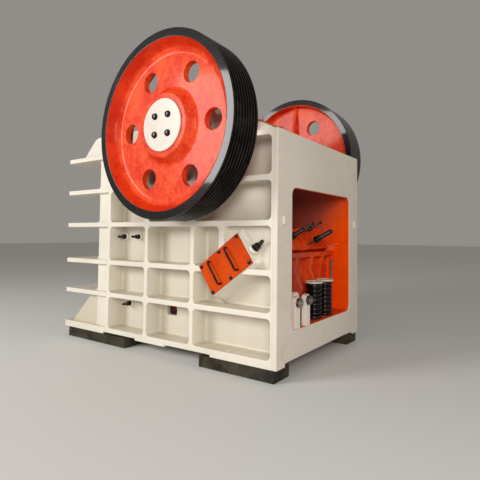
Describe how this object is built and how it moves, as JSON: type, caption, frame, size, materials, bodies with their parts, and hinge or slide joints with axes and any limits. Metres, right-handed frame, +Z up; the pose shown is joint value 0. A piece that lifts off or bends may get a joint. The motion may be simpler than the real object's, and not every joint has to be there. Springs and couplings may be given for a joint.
{
  "type": "jaw crusher",
  "caption": "Single-toggle jaw crusher: ribbed frame with front shelves, rear service opening, grooved belt pulley and flywheel on one shaft, on low support blocks.",
  "frame": {"origin": "centre of the footprint, under the support blocks", "axes": "+X towards the rear wall with the service opening, +Y towards the plain flywheel, +Z up"},
  "size_m": [2.538, 2.076, 2.456],
  "materials": {
    "side_wall_near": "satin cream paint",
    "side_wall_far": "satin cream paint",
    "front_wall": "satin cream paint",
    "rear_wall": "satin cream paint",
    "bearing_housing_near": "satin cream paint",
    "bearing_housing_far": "satin cream paint",
    "bearing_cover_near": "satin cream paint",
    "bearing_cover_far": "satin cream paint",
    "fixed_jaw_plate": "bare cast manganese steel",
    "side_liner_near": "bare cast manganese steel",
    "side_liner_far": "bare cast manganese steel",
    "toggle_beam": "orange paint",
    "block_rails": "orange paint",
    "adjusting_block": "orange paint",
    "adjusting_screws": "black oxide",
    "toggle_plate": "dark cast iron",
    "swing_jaw": "orange paint",
    "swing_jaw_plate": "bare cast manganese steel",
    "jaw_plate_clamp": "bare cast steel",
    "window_cover_near": "orange paint",
    "window_cover_far": "orange paint",
    "cover_handles_near": "black paint",
    "cover_handles_far": "black paint",
    "liner_bolts_near": "black oxide",
    "liner_bolts_far": "black oxide",
    "lock_bolt_near": "black oxide",
    "lock_bolt_far": "black oxide",
    "spring_front": "black paint",
    "spring_back": "black paint",
    "spring_disc_front": "cream paint",
    "spring_disc_back": "cream paint",
    "sill_lugs": "cream paint",
    "sill_lug_bolts": "plated steel",
    "grease_pipe": "steel tube",
    "support_block_front_near": "dark grey paint",
    "support_block_front_far": "dark grey paint",
    "support_block_rear_near": "dark grey paint",
    "support_block_rear_far": "dark grey paint",
    "shaft": "machined steel",
    "belt_pulley": "orange web, black grooved rim",
    "flywheel": "orange web, black rim",
    "hub_cap_near": "cream paint",
    "hub_cap_far": "cream paint"
  },
  "bodies": {
    "frame": {"side_wall_near": "side_wall_near", "side_wall_far": "side_wall_far", "front_wall": "front_wall", "rear_wall": "rear_wall", "bearing_housing_near": "bearing_housing_near", "bearing_housing_far": "bearing_housing_far", "bearing_cover_near": "bearing_cover_near", "bearing_cover_far": "bearing_cover_far", "fixed_jaw_plate": "fixed_jaw_plate", "side_liner_near": "side_liner_near", "side_liner_far": "side_liner_far", "toggle_beam": "toggle_beam", "block_rails": "block_rails", "adjusting_block": "adjusting_block", "adjusting_screws": "adjusting_screws", "toggle_plate": "toggle_plate", "swing_jaw": "swing_jaw", "swing_jaw_plate": "swing_jaw_plate", "jaw_plate_clamp": "jaw_plate_clamp", "window_cover_near": "window_cover_near", "window_cover_far": "window_cover_far", "cover_handles_near": "cover_handles_near", "cover_handles_far": "cover_handles_far", "liner_bolts_near": "liner_bolts_near", "liner_bolts_far": "liner_bolts_far", "lock_bolt_near": "lock_bolt_near", "lock_bolt_far": "lock_bolt_far", "spring_front": "spring_front", "spring_back": "spring_back", "spring_disc_front": "spring_disc_front", "spring_disc_back": "spring_disc_back", "sill_lugs": "sill_lugs", "sill_lug_bolts": "sill_lug_bolts", "grease_pipe": "grease_pipe", "support_block_front_near": "support_block_front_near", "support_block_front_far": "support_block_front_far", "support_block_rear_near": "support_block_rear_near", "support_block_rear_far": "support_block_rear_far"},
    "rotor": {"shaft": "shaft", "belt_pulley": "belt_pulley", "flywheel": "flywheel", "hub_cap_near": "hub_cap_near", "hub_cap_far": "hub_cap_far"}
  },
  "joints": [
    {"name": "rotor_spin", "type": "hinge", "parent": "frame", "child": "rotor", "pos_m": [0.464, 0, 1.773], "axis": [0, 1, 0], "continuous": true}
  ]
}
